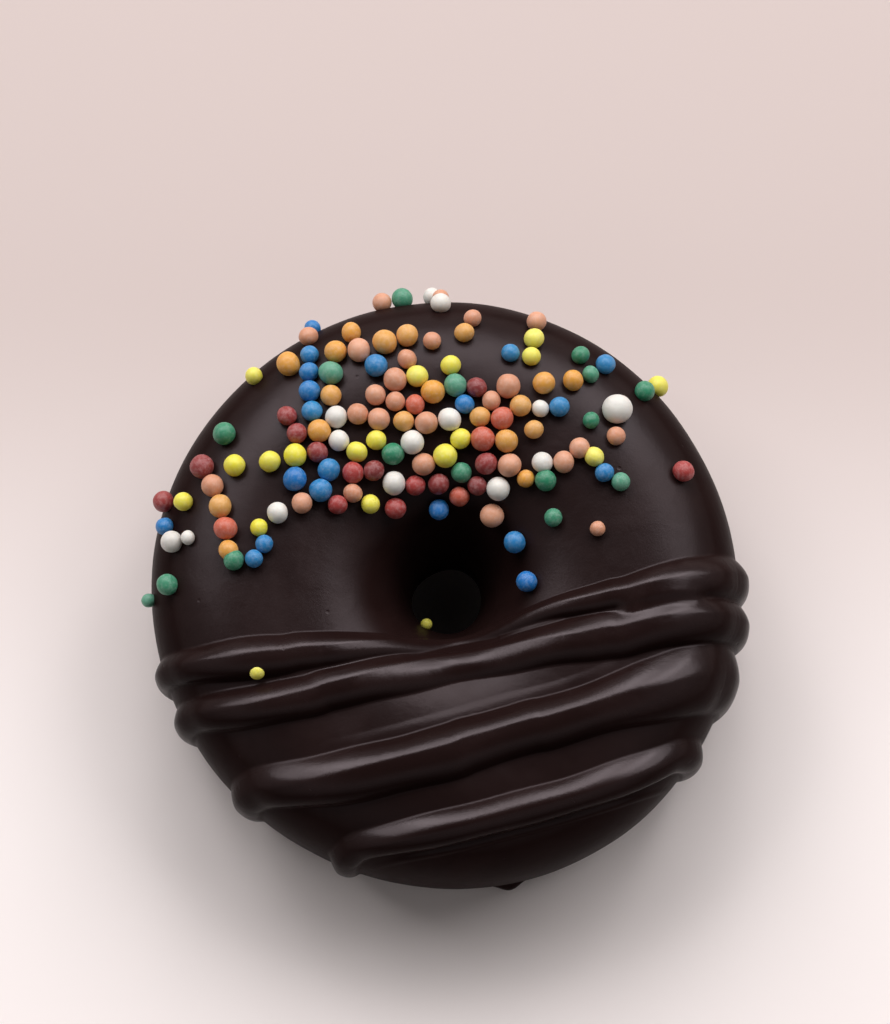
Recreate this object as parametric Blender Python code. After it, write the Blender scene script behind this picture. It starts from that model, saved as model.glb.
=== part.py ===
# Mini ring doughnut in dark chocolate, with thick piped chocolate lines across its front half and
# small round sugar sprinkles over its back half. All of it is one solid that lies flat on z = 0.
# Lengths here are in millimetres and become metres when a mesh is made. +Z is up, -Y is the front.
# A place on the ring is two angles: theta goes round the ring, and turn goes round its
# cross-section, from 0 at the hole's wall over the crown to pi at the widest side.

import math
import random

import bpy
import numpy as np
from mathutils import Euler

MM = 0.001

# The ring: its plan outline, its hole and its cross-section
OUTER_RADIUS = 27.95
HOLE_RADIUS = 3.15
HOLE_MOUTH = 4.7
NECK_HEIGHT = 6.0
NECK_LENGTH = 4.5
NECK_FADE = 6
HOLE_CENTRE = (0.3, -0.6)
HEIGHT = 19.3
WIDEST_HEIGHT = 8.5
CROWN_FULLNESS = 2.55
SIDE_FULLNESS = 1.9
FOOT_OUTSIDE = 0.92
FOOT_INSIDE = 0.07
# Each wave makes the ring a little uneven: how many times round it, its size and its peak in degrees
OUTLINE_WAVES = {1: (0.30, -50.0), 2: (0.25, -50.0), 3: (0.15, -50.0)}
HOLE_WAVES = {2: (0.10, 30.0), 3: (0.07, -60.0)}
CREST_WAVES = {1: (0.25, 60.0), 2: (0.15, 10.0), 3: (0.12, 200.0)}
# How finely places on the ring are searched
HALVINGS = 40
SAMPLES = 4000

# The mesh of the ring, with closer columns at the nub, in degrees either side of it
COLUMNS = 64
ROWS = 22
NUB_COLUMNS = (-4.5, -2.5, 0.0, 2.5, 4.5)

# Piped lines in plan, left to right, as (x, y, half-width, height)
LINES = {
    "back_line": [
        (-29.5, -8.3, 1.5, 1.1),
        (-22.9, -8.6, 1.7, 1.4),
        (-17.2, -8.2, 2.1, 1.6),
        (-11.3, -7.6, 1.8, 1.4),
        (-5.2, -6.7, 1.3, 0.8),
        (1.0, -5.8, 1.0, 0.45),
        (7.0, -4.4, 1.0, 0.6),
        (10.0, -3.5, 1.1, 0.9),
        (14.9, -2.7, 1.5, 1.3),
        (18.0, -1.9, 1.8, 1.5),
        (23.8, -0.6, 2.2, 1.5),
        (30.0, 1.0, 2.2, 1.3),
    ],
    "second_line": [
        (-29.0, -12.0, 1.8, 1.1),
        (-22.6, -12.9, 1.8, 1.4),
        (-17.2, -12.7, 2.0, 1.6),
        (-11.7, -11.5, 2.1, 1.6),
        (-6.1, -10.0, 2.2, 1.6),
        (-0.2, -8.8, 2.0, 1.5),
        (3.6, -8.2, 1.9, 1.4),
        (9.9, -6.9, 2.1, 1.4),
        (14.9, -6.2, 2.4, 1.5),
        (20.8, -4.7, 2.5, 1.6),
        (25.1, -4.1, 2.4, 1.6),
        (30.0, -3.6, 2.3, 1.4),
    ],
    "third_line": [
        (-22.5, -19.6, 2.0, 1.1),
        (-16.8, -19.8, 2.2, 1.5),
        (-11.3, -19.6, 2.5, 1.8),
        (-5.8, -18.5, 2.6, 1.9),
        (-0.1, -17.1, 2.7, 1.9),
        (5.7, -15.3, 2.6, 1.9),
        (11.4, -13.8, 2.5, 1.9),
        (16.9, -12.0, 2.7, 1.9),
        (21.2, -10.7, 3.3, 1.8),
        (24.2, -9.6, 3.6, 1.6),
        (30.0, -8.0, 3.2, 1.2),
    ],
    "front_line": [
        (-13.5, -25.8, 1.6, 1.1),
        (-7.8, -25.2, 1.7, 1.4),
        (-0.1, -23.9, 1.8, 1.7),
        (5.5, -22.6, 1.8, 1.7),
        (11.1, -21.1, 1.8, 1.7),
        (16.6, -19.1, 1.9, 1.7),
        (20.4, -17.4, 1.9, 1.5),
        (27.0, -13.6, 2.0, 1.2),
    ],
}
LINE_STEP = 0.5
# The cross-section of a line: its crest lies behind its middle, and each side has its own curve
LINE_RISE = 0.85
LINE_LEAN = 0.25
FRONT_FLATNESS = 2.4
BACK_FLATNESS = 2.0
LINE_ROUNDNESS = 1.05
# The rope of a line: shares of its half-width where it has an edge, and how deep it is sunk
ROPE_EDGES = (-1.0, -0.8, -0.35, 0.25, 0.72, 1.0)
ROPE_EDGE_SINK = 0.3
ROPE_SINK = 0.9
SIDE_STEPS = 6
ROPE_STEP = 4
# Down the side wall a line gets thinner, and ends at this height
WALL_TURN = 2.75
WALL_POINTS = 25
CORNER_POINTS = 9
LINE_END_HEIGHT = 2.0
WALL_HALF_WIDTH = 0.75
WALL_RISE = 0.55

# The nub of chocolate that ran out under the front edge
NUB_THETA = -77.0
NUB_REACH = 1.3
NUB_WIDTH = 1.5
NUB_HEIGHT = 2.2

# Sprinkles: size, and how far each one has sunk into the coating as a share of its radius
SPRINKLE_DIAMETER = 2.04
SPRINKLE_SPREAD = 0.12
SPRINKLE_UNROUND = 0.06
SUNK = 0.35
RIM = 0.985
SEED = 20
SPRINKLE_SIDES = 5
SPRINKLE_RINGS = 4
SHARP_ANGLE = 58.0

# Sprinkles in strings or alone: x and y of the first, heading and bend in degrees, how large they
# are beside the others, and the colours
STRINGS = [
    (-22.3, 10.0, -65, -6, 1.0, ("red", "salmon", "orange", "coral", "orange")),
    (-20.3, 13.1, 0, 0, 1.0, ("green",)),
    (-19.4, 9.9, 0, 0, 0.95, ("yellow",)),
    (-16.2, 10.2, 0, 0, 1.0, ("yellow",)),
    (-17.7, 19.1, 0, 0, 0.9, ("yellow",)),
    (-25.9, 7.4, -17, 0, 0.9, ("red", "yellow")),
    (-25.8, 4.8, -66, 0, 0.9, ("blue", "white")),
    (-23.7, 3.3, 0, 0, 0.65, ("white",)),
    (-25.4, -0.9, 0, 0, 0.9, ("green",)),
    (-28.6, -1.6, 0, 0, 0.75, ("green",)),
    (-17.2, 3.9, -72, -52, 0.9, ("yellow", "blue", "blue", "green")),
    (-15.5, 5.3, 0, 0, 0.9, ("white",)),
    (-12.4, 24.6, 0, 0, 0.85, ("blue",)),
    (-5.9, 27.3, 5, 0, 0.9, ("salmon", "green")),
    (-1.2, 28.4, -58, 0, 0.9, ("white", "salmon")),
    (-0.3, 25.9, 0, 0, 1.0, ("white",)),
    (-1.1, 21.8, 0, 0, 0.8, ("salmon",)),
    (1.9, 22.6, 64, 0, 0.9, ("orange", "salmon")),
    (8.6, 24.0, -97, 0, 0.95, ("salmon", "yellow", "yellow")),
    (6.2, 20.6, 0, 0, 0.75, ("blue",)),
    (6.0, 17.3, -58, 0, 1.0, ("salmon", "orange")),
    (9.0, 15.2, 5, 0, 0.9, ("white", "blue")),
    (8.4, 13.2, 0, 0, 0.9, ("orange",)),
    (9.3, 17.6, 0, 0, 0.95, ("orange",)),
    (12.0, 17.9, 25, 15, 0.9, ("orange", "green", "blue")),
    (12.7, 20.6, 0, 0, 0.8, ("green",)),
    (18.6, 17.4, 45, 0, 0.9, ("green", "yellow")),
    (16.0, 15.1, 0, 0, 1.3, ("white",)),
    (16.0, 12.6, 0, 0, 0.85, ("salmon",)),
    (13.7, 14.1, 0, 0, 0.9, ("green",)),
    (9.2, 10.1, 0, 42, 1.05, ("white", "salmon", "salmon")),
    (14.0, 10.6, -58, 28, 0.95, ("yellow", "blue", "green")),
    (22.1, 9.5, 0, 0, 0.95, ("red",)),
    (7.7, 8.7, -8, 0, 0.95, ("orange", "green")),
    (10.3, 5.0, 0, 0, 0.9, ("green",)),
    (14.3, 3.8, 0, 0, 0.75, ("salmon",)),
    (7.0, 3.2, 0, 0, 1.05, ("blue",)),
    (8.1, -0.8, 0, 0, 1.0, ("blue",)),
    (-12.5, 20.7, -92, 4, 0.9, ("blue", "blue", "blue", "blue")),
    (-14.6, 14.6, -62, 0, 1.05, ("red", "red")),
    (-17.2, -9.6, 0, 0, 0.75, ("yellow",)),
    (-2.2, -3.9, 0, 0, 0.5, ("yellow",)),
]
# Handfuls of sprinkles: centre x and y, half-length, half-width, tilt in degrees, and how many
HANDFULS = [
    (-3.9, 11.7, 10.2, 5.3, 0, 51),
    (-6.4, 20.4, 7.4, 2.5, -6, 13),
]
# How many places are tried for each sprinkle of a handful, to keep them evenly spread
TRIES = 5
COLOUR_SHARES = {
    "salmon": 15,
    "orange": 11,
    "red": 10,
    "yellow": 8,
    "blue": 7,
    "white": 6,
    "coral": 4,
    "green": 4,
}
SETTLE_ROUNDS = 60


def waves(theta, table):
    return sum(size * np.cos(n * (theta - np.radians(peak))) for n, (size, peak) in table.items())


def signed_power(value, power):
    return np.sign(value) * np.abs(value) ** power


def section(turn):
    """Share of the way across the ring, from its hole to its outline, and height."""
    cosine, sine = np.cos(turn), np.sin(turn)
    crown, side = 2 / CROWN_FULLNESS, 2 / SIDE_FULLNESS
    hole_side = FOOT_INSIDE * (1 - np.abs(cosine) ** side)
    outer_side = FOOT_OUTSIDE + (1 - FOOT_OUTSIDE) * np.abs(cosine) ** side
    on_side = np.where(cosine < 0, outer_side, hole_side)
    across = np.where(sine >= 0, 0.5 - 0.5 * signed_power(cosine, crown), on_side)
    above = (HEIGHT - WIDEST_HEIGHT) * np.abs(sine) ** crown
    below = WIDEST_HEIGHT * np.abs(sine) ** side
    return across, WIDEST_HEIGHT + np.where(sine >= 0, above, -below)


def bare_ring(theta, turn):
    """Points on the ring before the lines are piped over it."""
    across, height = section(turn)
    inner = HOLE_MOUTH + waves(theta, HOLE_WAVES)
    outer = OUTER_RADIUS + waves(theta, OUTLINE_WAVES)
    neck = np.exp(-(((height - NECK_HEIGHT) / NECK_LENGTH) ** 2)) * (1 - across) ** NECK_FADE
    radius = inner * (1 - across) + outer * across - (HOLE_MOUTH - HOLE_RADIUS) * neck
    swell = 1 + waves(theta, CREST_WAVES) / (HEIGHT - WIDEST_HEIGHT)
    crown_height = WIDEST_HEIGHT + (height - WIDEST_HEIGHT) * swell
    height = np.where(height > WIDEST_HEIGHT, crown_height, height)
    x = HOLE_CENTRE[0] * (1 - across) + radius * np.cos(theta)
    y = HOLE_CENTRE[1] * (1 - across) + radius * np.sin(theta)
    return np.stack([x, y, height], axis=-1)


def outward(theta, turn):
    """Unit normals of the bare ring."""
    step = 0.01
    round_ring = bare_ring(theta + step, turn) - bare_ring(theta - step, turn)
    round_section = bare_ring(theta, turn + step) - bare_ring(theta, turn - step)
    normal = np.cross(round_section, round_ring)
    return normal / np.linalg.norm(normal, axis=-1, keepdims=True)


def locate(x, y):
    """The theta and the share across of places in plan, found by halving the interval."""
    low, high = np.full(np.shape(x), -0.2), np.full(np.shape(x), 1.4)
    for _ in range(HALVINGS):
        across = (low + high) / 2
        dx, dy = x - HOLE_CENTRE[0] * (1 - across), y - HOLE_CENTRE[1] * (1 - across)
        theta = np.arctan2(dy, dx)
        inner = HOLE_MOUTH + waves(theta, HOLE_WAVES)
        outer = OUTER_RADIUS + waves(theta, OUTLINE_WAVES)
        further_out = np.hypot(dx, dy) > inner * (1 - across) + outer * across
        low, high = np.where(further_out, across, low), np.where(further_out, high, across)
    return theta, across


def crown_turn(across):
    return np.arccos(signed_power(1 - 2 * np.clip(across, 0, 1), CROWN_FULLNESS / 2))


def smooth_route(points):
    """Close points on a Catmull-Rom curve through the route's own points."""
    ends = np.array([points[0]] + points + [points[-1]])
    pieces = []
    for a, b, c, d in zip(ends, ends[1:], ends[2:], ends[3:]):
        count = max(1, round(np.hypot(*(c - b)[:2]) / LINE_STEP))
        t = (np.arange(count) / count)[:, None]
        bend, twist = 2 * a - 5 * b + 4 * c - d, 3 * b - a - 3 * c + d
        pieces.append(b + 0.5 * ((c - a) * t + bend * t**2 + twist * t**3))
    return np.concatenate(pieces + [ends[-1:]])


def round_corners(values):
    """A running mean along a line, which leaves its two ends where they are."""
    reach = CORNER_POINTS // 2
    before = 2 * values[0] - values[reach:0:-1]
    after = 2 * values[-1] - values[-2 : -reach - 2 : -1]
    window = np.ones(CORNER_POINTS) / CORNER_POINTS
    return np.convolve(np.concatenate([before, values, after]), window, "valid")


def lay_line(points):
    """A line's places on the bare ring, with its half-widths and heights, down both side walls."""
    x, y, half, rise = smooth_route(points).T
    theta, across = locate(x, y)
    turn = crown_turn(across)
    over = (turn < WALL_TURN) & (across < 1)
    laid = [values[over] for values in (theta, turn, half, LINE_RISE * rise)]
    wall_turns = np.linspace(np.pi, 1.5 * np.pi, SAMPLES)
    lowest = np.interp(-LINE_END_HEIGHT, -section(wall_turns)[1], wall_turns)
    down = np.linspace(0, 1, WALL_POINTS)[1:]
    walls = []
    for end in (0, -1):
        theta, turn, half, rise = (values[end] for values in laid)
        thinner = half * (1 - (1 - WALL_HALF_WIDTH) * down)
        lower = rise * (1 - (1 - WALL_RISE) * down)
        walls.append((np.full(down.shape, theta), turn + (lowest - turn) * down, thinner, lower))
    line = [np.concatenate([left[::-1], top, right]) for left, top, right in zip(walls[0], laid, walls[1])]
    return [round_corners(values) for values in line]


def rope_height(share):
    """Height of a line, as a share of its crest, from -1 at its front edge to 1 at its back edge."""
    behind = share > LINE_LEAN
    from_crest = np.abs(share - LINE_LEAN) / np.where(behind, 1 - LINE_LEAN, 1 + LINE_LEAN)
    flatness = np.where(behind, BACK_FLATNESS, FRONT_FLATNESS)
    return (1 - np.clip(from_crest, 0, 1) ** flatness) ** LINE_ROUNDNESS


def step_sideways(theta, turn, direction, distance):
    """Places that lie this far to one side, along the bare ring's surface."""
    nudge = 0.01
    for _ in range(SIDE_STEPS):
        along_theta = (bare_ring(theta + nudge, turn) - bare_ring(theta - nudge, turn)) / (2 * nudge)
        along_turn = (bare_ring(theta, turn + nudge) - bare_ring(theta, turn - nudge)) / (2 * nudge)
        step = distance / SIDE_STEPS
        theta = theta + step * (direction * along_theta).sum(axis=1) / (along_theta**2).sum(axis=1)
        turn = turn + step * (direction * along_turn).sum(axis=1) / (along_turn**2).sum(axis=1)
        up = outward(theta, turn)
        direction = direction - up * (direction * up).sum(axis=1)[:, None]
        direction /= np.linalg.norm(direction, axis=1)[:, None]
    return theta, turn


def make_line(name, route, collection):
    """A rounded rope of chocolate that follows the ring's surface and is sunk into it."""
    theta, turn, half, rise = (values[::ROPE_STEP] for values in lay_line(route))
    places, up = bare_ring(theta, turn), outward(theta, turn)
    side = np.cross(up, np.gradient(places, axis=0))
    side /= np.linalg.norm(side, axis=1)[:, None]
    rows = []
    for share in ROPE_EDGES:
        edge_theta, edge_turn = step_sideways(theta, turn, side, share * half)
        height = rise * rope_height(share)
        if abs(share) == 1:
            height[:] = -ROPE_EDGE_SINK
        height[[0, -1]] = -ROPE_EDGE_SINK
        rows.append(bare_ring(edge_theta, edge_turn) + outward(edge_theta, edge_turn) * height[:, None])
    rows.append(places - up * ROPE_SINK)
    around = len(rows)
    points = np.stack(rows, axis=1).reshape(-1, 3)
    faces = [
        (a + k, a + (k + 1) % around, a + around + (k + 1) % around, a + around + k)
        for a in range(0, len(points) - around, around)
        for k in range(around)
    ]
    faces += [tuple(range(around))[::-1], tuple(range(len(points) - around, len(points)))]
    return make_mesh_object(name, points, faces, collection)


def nub(points, theta):
    """How far the nub at the foot stands out from these points."""
    off = (theta - math.radians(NUB_THETA) + np.pi) % (2 * np.pi) - np.pi
    sideways = np.exp(-((off * OUTER_RADIUS / NUB_WIDTH) ** 2))
    low = np.clip(1 - points[:, 2] / NUB_HEIGHT, 0, 1) ** 0.5
    return NUB_REACH * sideways * low * (np.hypot(points[:, 0], points[:, 1]) > OUTER_RADIUS / 2)


def even_turns(count):
    """Turns that are about evenly spaced along the cross-section, without its flat base."""
    fine = np.linspace(-0.5 * np.pi + 1e-4, 1.5 * np.pi - 1e-4, SAMPLES)
    across, height = section(fine)
    width = OUTER_RADIUS - HOLE_MOUTH
    length = np.concatenate([[0], np.cumsum(np.hypot(np.diff(across) * width, np.diff(height)))])
    return np.interp(np.linspace(0, length[-1], count), length, fine)


def make_mesh_object(name, points, faces, collection):
    mesh = bpy.data.meshes.new(name)
    mesh.from_pydata([tuple(float(c) * MM for c in p) for p in points], [], faces)
    mesh.update()
    made = bpy.data.objects.new(name, mesh)
    collection.objects.link(made)
    return made


def make_ring():
    """The coated ring without its piped lines, one closed surface with a flat base."""
    extra = np.radians(NUB_THETA + np.array(NUB_COLUMNS)) % (2 * np.pi)
    thetas = np.sort(np.concatenate([np.linspace(0, 2 * np.pi, COLUMNS, endpoint=False), extra]))
    theta, turn = (grid.ravel() for grid in np.meshgrid(thetas, even_turns(ROWS), indexing="ij"))
    points = bare_ring(theta, turn)
    out = nub(points, theta)
    points[:, 0] += out * np.cos(theta)
    points[:, 1] += out * np.sin(theta)
    columns = len(thetas)
    points.reshape(columns, ROWS, 3)[:, (0, -1), 2] = 0
    faces = []
    for column in range(columns):
        here, there = column * ROWS, (column + 1) % columns * ROWS
        for row in range(ROWS):
            after = (row + 1) % ROWS
            faces.append((here + row, there + row, there + after, here + after))
    return make_mesh_object("doughnut", points, faces, bpy.context.scene.collection)


def make_sprinkle(name, centre, radii, turned, collection):
    """A small sphere with few sides, turned to any side."""
    points = [(0.0, 0.0, radii[2])]
    for ring in range(1, SPRINKLE_RINGS):
        polar = math.pi * ring / SPRINKLE_RINGS
        wide = math.sin(polar)
        for side in range(SPRINKLE_SIDES):
            angle = 2 * math.pi * side / SPRINKLE_SIDES
            x, y = radii[0] * wide * math.cos(angle), radii[1] * wide * math.sin(angle)
            points.append((x, y, radii[2] * math.cos(polar)))
    points.append((0.0, 0.0, -radii[2]))
    last = len(points) - 1
    faces = []
    for side in range(SPRINKLE_SIDES):
        after = (side + 1) % SPRINKLE_SIDES
        faces.append((0, 1 + side, 1 + after))
        for ring in range(SPRINKLE_RINGS - 2):
            here, below = 1 + ring * SPRINKLE_SIDES, 1 + (ring + 1) * SPRINKLE_SIDES
            faces.append((here + side, below + side, below + after, here + after))
        bottom = last - SPRINKLE_SIDES
        faces.append((bottom + side, last, bottom + after))
    rotation = np.array(turned.to_matrix())
    return make_mesh_object(name, np.array(points) @ rotation.T + centre, faces, collection)


def place_sprinkles():
    """Every sprinkle as [x, y, radius, colour] in plan: the strings, then the handfuls round them."""
    draw = random.Random(SEED)

    def some_radius():
        return SPRINKLE_DIAMETER / 2 * (1 + draw.uniform(-SPRINKLE_SPREAD, SPRINKLE_SPREAD))

    strings = []
    for x, y, heading, bend, size, colours in STRINGS:
        radius = size * some_radius()
        for colour in colours:
            strings.append([x, y, radius, colour])
            following = size * some_radius()
            x += (radius + following) * math.cos(math.radians(heading))
            y += (radius + following) * math.sin(math.radians(heading))
            heading += bend
            radius = following
    bag = [colour for colour, share in COLOUR_SHARES.items() for _ in range(share)]
    draw.shuffle(bag)
    handfuls = []
    for centre_x, centre_y, half_length, half_width, tilt, count in HANDFULS:
        lean = math.radians(tilt)
        for _ in range(count):
            tried = []
            for _ in range(TRIES):
                u, v = half_length * draw.uniform(-1, 1), half_width * draw.uniform(-1, 1)
                x = centre_x + u * math.cos(lean) - v * math.sin(lean)
                y = centre_y + u * math.sin(lean) + v * math.cos(lean)
                nearest = min(math.hypot(x - ball[0], y - ball[1]) for ball in strings + handfuls)
                tried.append((nearest, x, y))
            handfuls.append([*max(tried)[1:], some_radius(), bag[len(handfuls) % len(bag)]])
    settle(handfuls, strings)
    return strings + handfuls


def settle(loose, fixed):
    """Pushes loose sprinkles apart until they lie beside each other and beside the fixed ones."""
    for _ in range(SETTLE_ROUNDS):
        for i, ball in enumerate(loose):
            for other in loose[:i]:
                push_apart(ball, other, 0.5)
            for other in fixed:
                push_apart(ball, other, 0.0)


def push_apart(ball, other, others_share):
    dx, dy = ball[0] - other[0], ball[1] - other[1]
    gap = max(math.hypot(dx, dy), 1e-6)
    overlap = ball[2] + other[2] - gap
    if overlap > 0:
        ball[0] += dx / gap * overlap * (1 - others_share)
        ball[1] += dy / gap * overlap * (1 - others_share)
        other[0] -= dx / gap * overlap * others_share
        other[1] -= dy / gap * overlap * others_share


def seats(sprinkles):
    """The centres of the sprinkles, each sunk a little into the coating under it."""
    x, y, radius = np.array([sprinkle[:3] for sprinkle in sprinkles]).T
    theta, across = locate(x, y)
    turn = crown_turn(np.minimum(across, RIM))
    return bare_ring(theta, turn) + outward(theta, turn) * (radius * (1 - SUNK))[:, None]


def dark_chocolate():
    material = bpy.data.materials.new("dark_chocolate")
    material.use_nodes = True
    shader = material.node_tree.nodes["Principled BSDF"]
    shader.inputs["Base Color"].default_value = (0.026, 0.014, 0.012, 1)
    shader.inputs["Roughness"].default_value = 0.35
    return material


def main():
    for old in list(bpy.data.objects):
        bpy.data.objects.remove(old)
    doughnut = make_ring()
    toppings = bpy.data.collections.new("toppings")
    bpy.context.scene.collection.children.link(toppings)
    for name, route in LINES.items():
        make_line(name, route, toppings)
    sprinkles = place_sprinkles()
    draw = random.Random(SEED + 1)
    for i, centre in enumerate(seats(sprinkles)):
        radii = [sprinkles[i][2] * (1 + draw.uniform(-SPRINKLE_UNROUND, SPRINKLE_UNROUND)) for _ in range(3)]
        turned = Euler([draw.uniform(0, 2 * math.pi) for _ in range(3)])
        make_sprinkle(f"sprinkle_{i}", centre, radii, turned, toppings)
    union = doughnut.modifiers.new("toppings", "BOOLEAN")
    union.operation = "UNION"
    union.operand_type = "COLLECTION"
    union.collection = toppings
    union.solver = "EXACT"
    bpy.context.view_layer.objects.active = doughnut
    bpy.ops.object.modifier_apply(modifier=union.name)
    for topping in list(toppings.objects):
        bpy.data.objects.remove(topping)
    bpy.data.collections.remove(toppings)
    doughnut.data.materials.clear()
    doughnut.data.materials.append(dark_chocolate())
    doughnut.data.shade_smooth()
    doughnut.data.set_sharp_from_angle(angle=math.radians(SHARP_ANGLE))


main()
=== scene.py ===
# Looks of the mini ring doughnut: dark chocolate coating with piped lines and sugar sprinkles.
# Lengths here are in millimetres and become metres when a mesh is made. +Z is up, -Y is the front.
# A place on the ring is two angles: theta goes round the ring, and turn goes round its
# cross-section, from 0 at the hole's wall over the crown to pi at the widest side.

import math
import random

import bmesh
import bpy
import numpy as np
from mathutils import Euler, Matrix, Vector, noise


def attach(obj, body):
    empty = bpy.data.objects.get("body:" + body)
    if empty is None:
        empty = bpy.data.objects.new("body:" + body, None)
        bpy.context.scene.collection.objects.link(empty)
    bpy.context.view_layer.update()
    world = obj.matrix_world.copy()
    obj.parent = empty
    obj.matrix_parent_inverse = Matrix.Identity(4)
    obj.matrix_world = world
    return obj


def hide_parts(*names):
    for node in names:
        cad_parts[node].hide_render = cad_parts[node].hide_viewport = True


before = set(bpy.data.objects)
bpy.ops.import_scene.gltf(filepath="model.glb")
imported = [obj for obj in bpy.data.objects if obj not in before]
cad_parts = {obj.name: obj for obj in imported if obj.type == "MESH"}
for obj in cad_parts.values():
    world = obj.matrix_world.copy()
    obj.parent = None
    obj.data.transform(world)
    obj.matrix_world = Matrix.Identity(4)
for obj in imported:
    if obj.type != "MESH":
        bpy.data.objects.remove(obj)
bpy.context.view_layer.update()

MM = 0.001
NODE = "doughnut"

# The ring, as the CAD part has it
OUTER_RADIUS = 27.95
HOLE_RADIUS = 3.15
HOLE_MOUTH = 4.7
NECK_HEIGHT = 6.0
NECK_LENGTH = 4.5
NECK_FADE = 6
HOLE_CENTRE = (0.3, -0.6)
HEIGHT = 19.3
WIDEST_HEIGHT = 8.5
CROWN_FULLNESS = 2.55
SIDE_FULLNESS = 1.9
FOOT_OUTSIDE = 0.92
FOOT_INSIDE = 0.07
OUTLINE_WAVES = {1: (0.30, -50.0), 2: (0.25, -50.0), 3: (0.15, -50.0)}
HOLE_WAVES = {2: (0.10, 30.0), 3: (0.07, -60.0)}
CREST_WAVES = {1: (0.25, 60.0), 2: (0.15, 10.0), 3: (0.12, 200.0)}
# How places on the ring are found: the first interval of the share across it, how often that is
# halved, and how many samples a cross-section is measured with
SHARES_SEARCHED = (-0.2, 1.4)
HALVINGS = 40
SAMPLES = 4000

# Piped lines in plan, left to right, as (x, y, half-width, height)
LINES = {
    "back_line": [
        (-29.5, -8.3, 1.5, 1.1),
        (-22.9, -8.6, 1.7, 1.4),
        (-17.2, -8.2, 2.1, 1.6),
        (-11.3, -7.6, 1.8, 1.4),
        (-5.2, -6.7, 1.3, 0.8),
        (1.0, -5.8, 1.0, 0.45),
        (7.0, -4.4, 1.0, 0.6),
        (10.0, -3.5, 1.1, 0.9),
        (14.9, -2.7, 1.5, 1.3),
        (18.0, -1.9, 1.8, 1.5),
        (23.8, -0.6, 2.2, 1.5),
        (30.0, 1.0, 2.2, 1.3),
    ],
    "second_line": [
        (-29.0, -12.0, 1.8, 1.1),
        (-22.6, -12.9, 1.8, 1.4),
        (-17.2, -12.7, 2.0, 1.6),
        (-11.7, -11.5, 2.1, 1.6),
        (-6.1, -10.0, 2.2, 1.6),
        (-0.2, -8.8, 2.0, 1.5),
        (3.6, -8.2, 1.9, 1.4),
        (9.9, -6.9, 2.1, 1.4),
        (14.9, -6.2, 2.4, 1.5),
        (20.8, -4.7, 2.5, 1.6),
        (25.1, -4.1, 2.4, 1.6),
        (30.0, -3.6, 2.3, 1.4),
    ],
    "third_line": [
        (-22.5, -19.6, 2.0, 1.1),
        (-16.8, -19.8, 2.2, 1.5),
        (-11.3, -19.6, 2.5, 1.8),
        (-5.8, -18.5, 2.6, 1.9),
        (-0.1, -17.1, 2.7, 1.9),
        (5.7, -15.3, 2.6, 1.9),
        (11.4, -13.8, 2.5, 1.9),
        (16.9, -12.0, 2.7, 1.9),
        (21.2, -10.7, 3.3, 1.8),
        (24.2, -9.6, 3.6, 1.6),
        (30.0, -8.0, 3.2, 1.2),
    ],
    "front_line": [
        (-13.5, -25.8, 1.6, 1.1),
        (-7.8, -25.2, 1.7, 1.4),
        (-0.1, -23.9, 1.8, 1.7),
        (5.5, -22.6, 1.8, 1.7),
        (11.1, -21.1, 1.8, 1.7),
        (16.6, -19.1, 1.9, 1.7),
        (20.4, -17.4, 1.9, 1.5),
        (27.0, -13.6, 2.0, 1.2),
    ],
}
# Between its points a line is followed in steps this long, and its corners are rounded over so many
LINE_STEP = 0.5
CORNER_POINTS = 9
# From this turn on a line runs straight down the side wall, down to this height over the floor,
# where this much is left of its half-width and of its height
WALL_TURN = 2.75
WALL_POINTS = 25
LINE_END_HEIGHT = 2.0
WALL_HALF_WIDTH = 0.75
WALL_RISE = 0.55
# The cross-section of a line: its crest lies behind its middle, and each side has its own curve.
# It is a little fuller than in the CAD part
LINE_RISE = 0.85
LINE_LEAN = 0.15
FRONT_FLATNESS = 2.9
BACK_FLATNESS = 1.6
LINE_ROUNDNESS = 1.05
# How softly lines melt together, and how closely they are followed: the length between samples, how
# many samples a rough search steps over, and how many points are measured at a time
LINE_MERGE = 4.5
LINE_SAMPLE = 0.15
ROUGH_STEP = 12
BATCH = 2000
# How much the width of a line wavers, how long a wave is and how far it shifts from line to line
WAVER = 0.025
WAVER_LENGTH = 9.0
WAVER_SHIFT = 2
# A line rises to its full height over this length from each end
TIP_LENGTH = 2.5
# A line dips where it turns down over the rim: by this share, at this turn and this wide
RIM_DIP = 0.2
RIM_TURN = 2.62
RIM_WIDTH = 0.16
# Folds beside a line: the line, the side in half-widths, from x to x, tip, half-width and height
FOLDS = [
    ("third_line", 1.10, -11.0, 17.0, 6.0, 0.80, 0.09),
    ("front_line", -1.08, -7.0, 22.0, 6.0, 0.45, 0.12),
    ("second_line", 0.95, -15.0, -4.0, 4.0, 0.70, 0.32),
    ("second_line", 1.05, 5.0, 12.0, 3.0, 0.55, 0.16),
    ("second_line", 0.85, 15.6, 24.5, 1.6, 1.50, 1.04),
]

# The nub of chocolate at the foot: its theta in degrees, how far out it reaches, and its size
NUB_THETA = -77.0
NUB_REACH = 1.3
NUB_WIDTH = 1.5
NUB_HEIGHT = 2.2

# The coating's mesh: columns round the ring, closer together in front, between two thetas in
# degrees, and rows round the cross-section, so much closer together over the crown, from this share
# across on. The first and the last row stay this much turn short of the flat base
FRONT_COLUMNS = 500
BACK_COLUMNS = 130
FRONT_FROM, FRONT_TO = -176.0, 9.0
ROWS = 350
CROWN_DENSITY = 2.0
CROWN_FROM = 0.02
BASE_EDGE = 1e-4
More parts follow.
